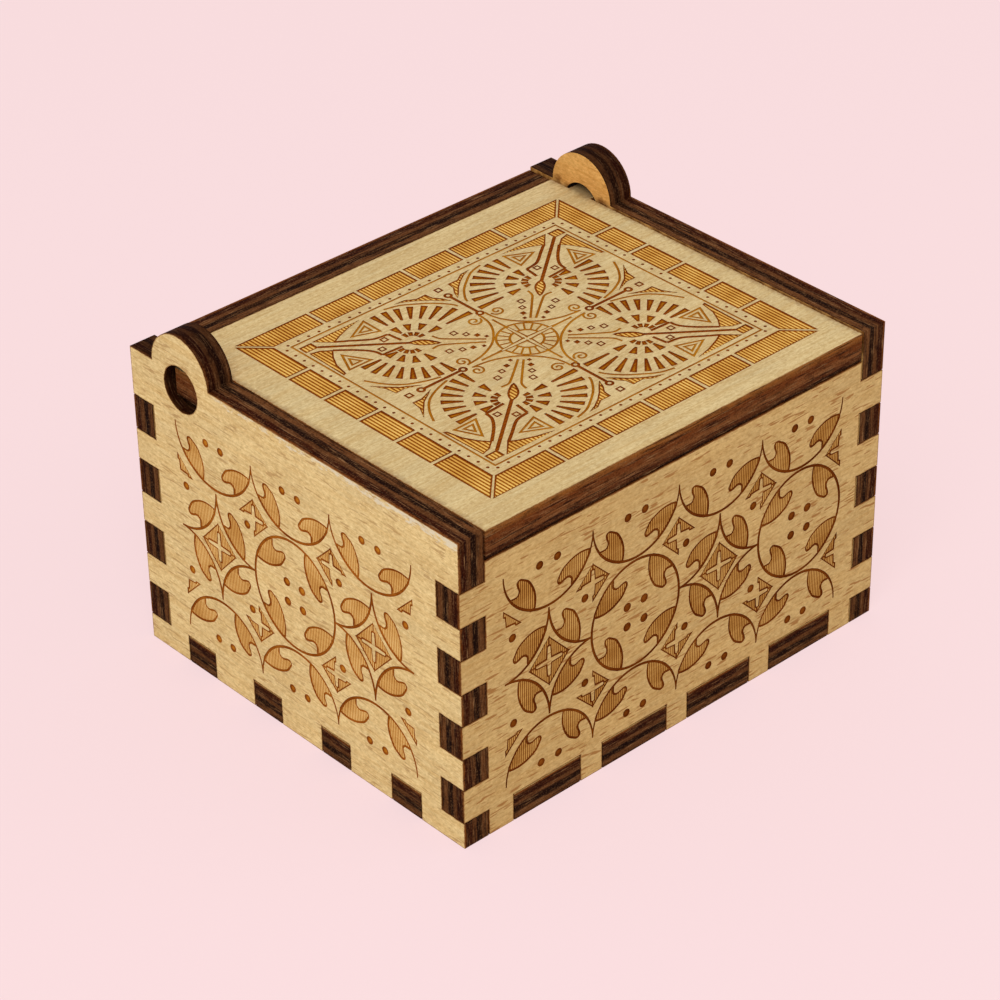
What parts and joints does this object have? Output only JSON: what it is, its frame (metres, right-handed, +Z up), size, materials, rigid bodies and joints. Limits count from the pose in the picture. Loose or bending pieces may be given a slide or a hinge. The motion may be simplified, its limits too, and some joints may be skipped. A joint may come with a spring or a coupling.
{
  "type": "music box",
  "caption": "Small finger-jointed plywood box with a hinged lid; a hand crank turns a worm and a pinned cylinder that plays a steel comb.",
  "frame": {"origin": "centre of the bottom panel's underside, where the box stands", "axes": "+Z up; the long patterned front faces -Y; the crank comes out of the right side, +X; the lid's hinge is at the back, +Y"},
  "size_m": [0.086, 0.055, 0.045],
  "materials": {
    "plywood": "laser-cut birch plywood, oiled, with charred edges",
    "zinc": "cast zinc alloy, yellow plated, satin",
    "lead": "dull cast lead",
    "brass": "turned brass, satin",
    "nylon": "moulded nylon, matt",
    "knob_plastic": "moulded plastic, satin gloss",
    "steel": "ground and nickel-plated steel"
  },
  "bodies": {
    "box": {"bottom_panel": "plywood", "front_panel": "plywood", "back_panel": "plywood", "left_panel": "plywood", "right_panel": "plywood", "movement_bed": "zinc", "worm_bracket": "zinc", "tooth_weight_1": "lead", "tooth_weight_2": "lead", "tooth_weight_3": "lead", "tooth_weight_4": "lead", "tooth_weight_5": "lead", "tooth_weight_6": "lead", "comb": "steel", "comb_screw_1": "steel", "comb_screw_2": "steel", "bracket_screw_1": "steel", "bracket_screw_2": "steel", "bed_screw_1": "steel", "bed_screw_2": "steel", "bed_screw_3": "steel"},
    "lid": {"lid": "plywood"},
    "cylinder": {"pinned_cylinder": "brass", "front_cylinder_cap": "nylon", "back_cylinder_cap": "nylon", "cylinder_arbor": "steel", "front_arbor_clip": "steel", "back_arbor_clip": "steel", "worm_wheel": "nylon"},
    "crank": {"worm": "brass", "worm_shaft": "steel", "inner_shaft_clip": "steel", "outer_shaft_clip": "steel", "crank_handle": "steel"},
    "knob": {"crank_knob": "knob_plastic"}
  },
  "joints": [
    {"name": "lid_hinge", "type": "hinge", "parent": "box", "child": "lid", "pos_m": [0, 0.0185, 0.03815], "axis": [-1, 0, 0], "range_deg": [0, 145]},
    {"name": "crank_turn", "type": "hinge", "parent": "box", "child": "crank", "pos_m": [0.01, 0.01295, 0.0206], "axis": [1, 0, 0], "continuous": true},
    {"name": "cylinder_spin", "type": "hinge", "parent": "box", "child": "cylinder", "pos_m": [0.01, -0.0035, 0.013], "axis": [0, 1, 0], "continuous": true},
    {"name": "knob_spin", "type": "hinge", "parent": "crank", "child": "knob", "pos_m": [0.0445, 0.01295, 0.0081], "axis": [1, 0, 0], "continuous": true}
  ],
  "couplings": [
    {"joint": "cylinder_spin", "follows": "crank_turn", "ratio": -0.05}
  ]
}
